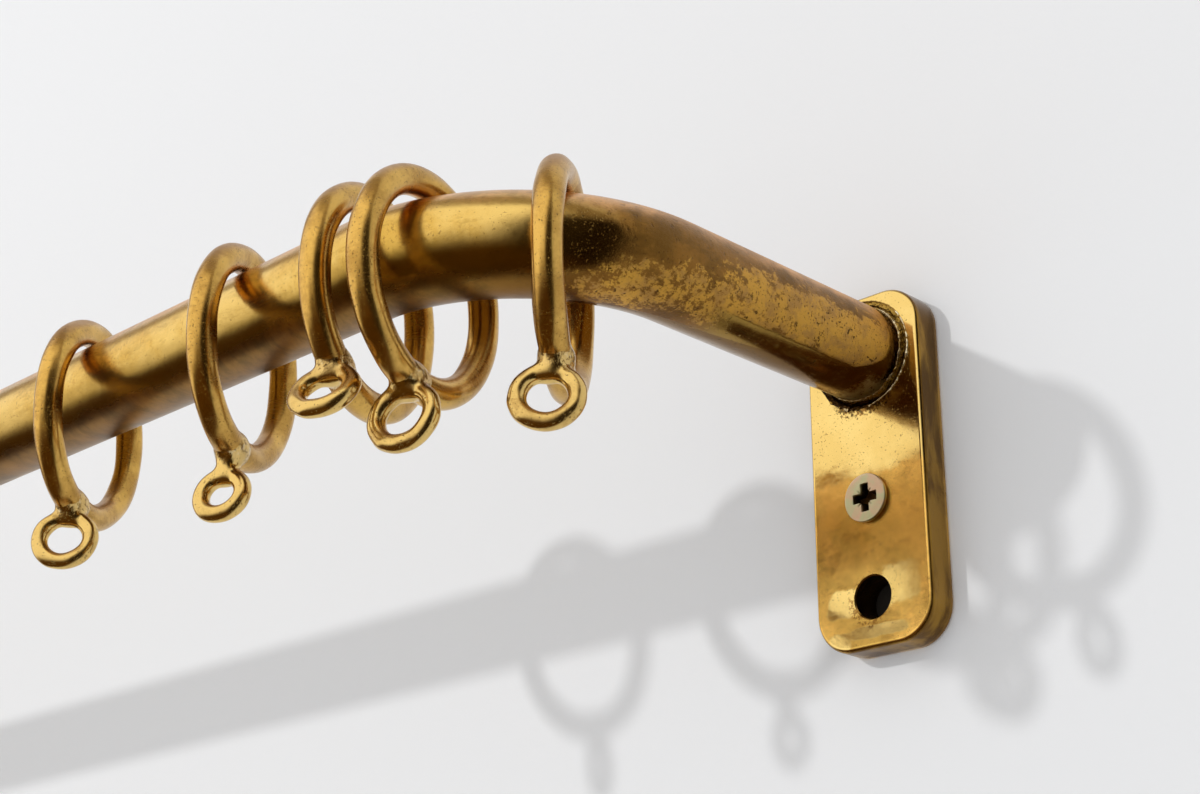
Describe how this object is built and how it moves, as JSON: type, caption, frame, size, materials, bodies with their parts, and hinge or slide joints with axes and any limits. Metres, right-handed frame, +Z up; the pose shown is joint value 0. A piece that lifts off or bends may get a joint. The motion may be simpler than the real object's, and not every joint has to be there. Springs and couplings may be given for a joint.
{
  "type": "french return curtain rod",
  "caption": "Round brass curtain pole bent back to the wall at both ends on brazed wall plates, with loose curtain rings that carry hook eyes.",
  "frame": {"origin": "on the wall, midway between the lower fixing holes of the two wall plates", "axes": "+X along the window, +Y into the wall, +Z up"},
  "size_m": [0.6272, 0.1531, 0.0746],
  "materials": {
    "pole_brass": "aged, unlacquered, with patches of tarnish",
    "plate_brass": "polished, with cloudy tarnish",
    "ring_brass": "satin, ground and worn",
    "braze": "rough cast",
    "screw_steel": "yellow zinc plating"
  },
  "bodies": {
    "rod": {"pole": "pole_brass", "right_wall_plate": "plate_brass", "right_braze_bead": "braze", "right_screw": "screw_steel", "left_wall_plate": "plate_brass", "left_braze_bead": "braze", "left_screw": "screw_steel"},
    "right_ring_1": {"right_ring_1_hoop": "ring_brass", "right_ring_1_eye": "ring_brass"},
    "right_ring_2": {"right_ring_2_hoop": "ring_brass", "right_ring_2_eye": "ring_brass"},
    "right_ring_3": {"right_ring_3_hoop": "ring_brass", "right_ring_3_eye": "ring_brass"},
    "right_ring_4": {"right_ring_4_hoop": "ring_brass", "right_ring_4_eye": "ring_brass"},
    "right_ring_5": {"right_ring_5_hoop": "ring_brass", "right_ring_5_eye": "ring_brass"},
    "left_ring_1": {"left_ring_1_hoop": "ring_brass", "left_ring_1_eye": "ring_brass"},
    "left_ring_2": {"left_ring_2_hoop": "ring_brass", "left_ring_2_eye": "ring_brass"},
    "left_ring_3": {"left_ring_3_hoop": "ring_brass", "left_ring_3_eye": "ring_brass"},
    "left_ring_4": {"left_ring_4_hoop": "ring_brass", "left_ring_4_eye": "ring_brass"},
    "left_ring_5": {"left_ring_5_hoop": "ring_brass", "left_ring_5_eye": "ring_brass"}
  },
  "joints": [
    {"name": "right_ring_1_slide", "type": "slide", "parent": "rod", "child": "right_ring_1", "axis": [1, 0, 0], "range_m": [-0.15, 0.041]},
    {"name": "right_ring_2_slide", "type": "slide", "parent": "rod", "child": "right_ring_2", "axis": [1, 0, 0], "range_m": [-0.041, 0.027]},
    {"name": "right_ring_3_slide", "type": "slide", "parent": "rod", "child": "right_ring_3", "axis": [1, 0, 0], "range_m": [-0.027, 0.0035]},
    {"name": "right_ring_4_round_bend", "type": "hinge", "parent": "rod", "child": "right_ring_4", "pos_m": [0.262, -0.062, 0.0493], "axis": [0, 0, 1], "range_deg": [-3, 15.5]},
    {"name": "right_ring_5_round_bend", "type": "hinge", "parent": "rod", "child": "right_ring_5", "pos_m": [0.262, -0.062, 0.0493], "axis": [0, 0, 1], "range_deg": [-15.5, 33]},
    {"name": "left_ring_1_slide", "type": "slide", "parent": "rod", "child": "left_ring_1", "axis": [-1, 0, 0], "range_m": [-0.15, 0.041]},
    {"name": "left_ring_2_slide", "type": "slide", "parent": "rod", "child": "left_ring_2", "axis": [-1, 0, 0], "range_m": [-0.041, 0.027]},
    {"name": "left_ring_3_slide", "type": "slide", "parent": "rod", "child": "left_ring_3", "axis": [-1, 0, 0], "range_m": [-0.027, 0.0035]},
    {"name": "left_ring_4_round_bend", "type": "hinge", "parent": "rod", "child": "left_ring_4", "pos_m": [-0.262, -0.062, 0.0493], "axis": [0, 0, -1], "range_deg": [-3, 15.5]},
    {"name": "left_ring_5_round_bend", "type": "hinge", "parent": "rod", "child": "left_ring_5", "pos_m": [-0.262, -0.062, 0.0493], "axis": [0, 0, -1], "range_deg": [-15.5, 33]}
  ]
}
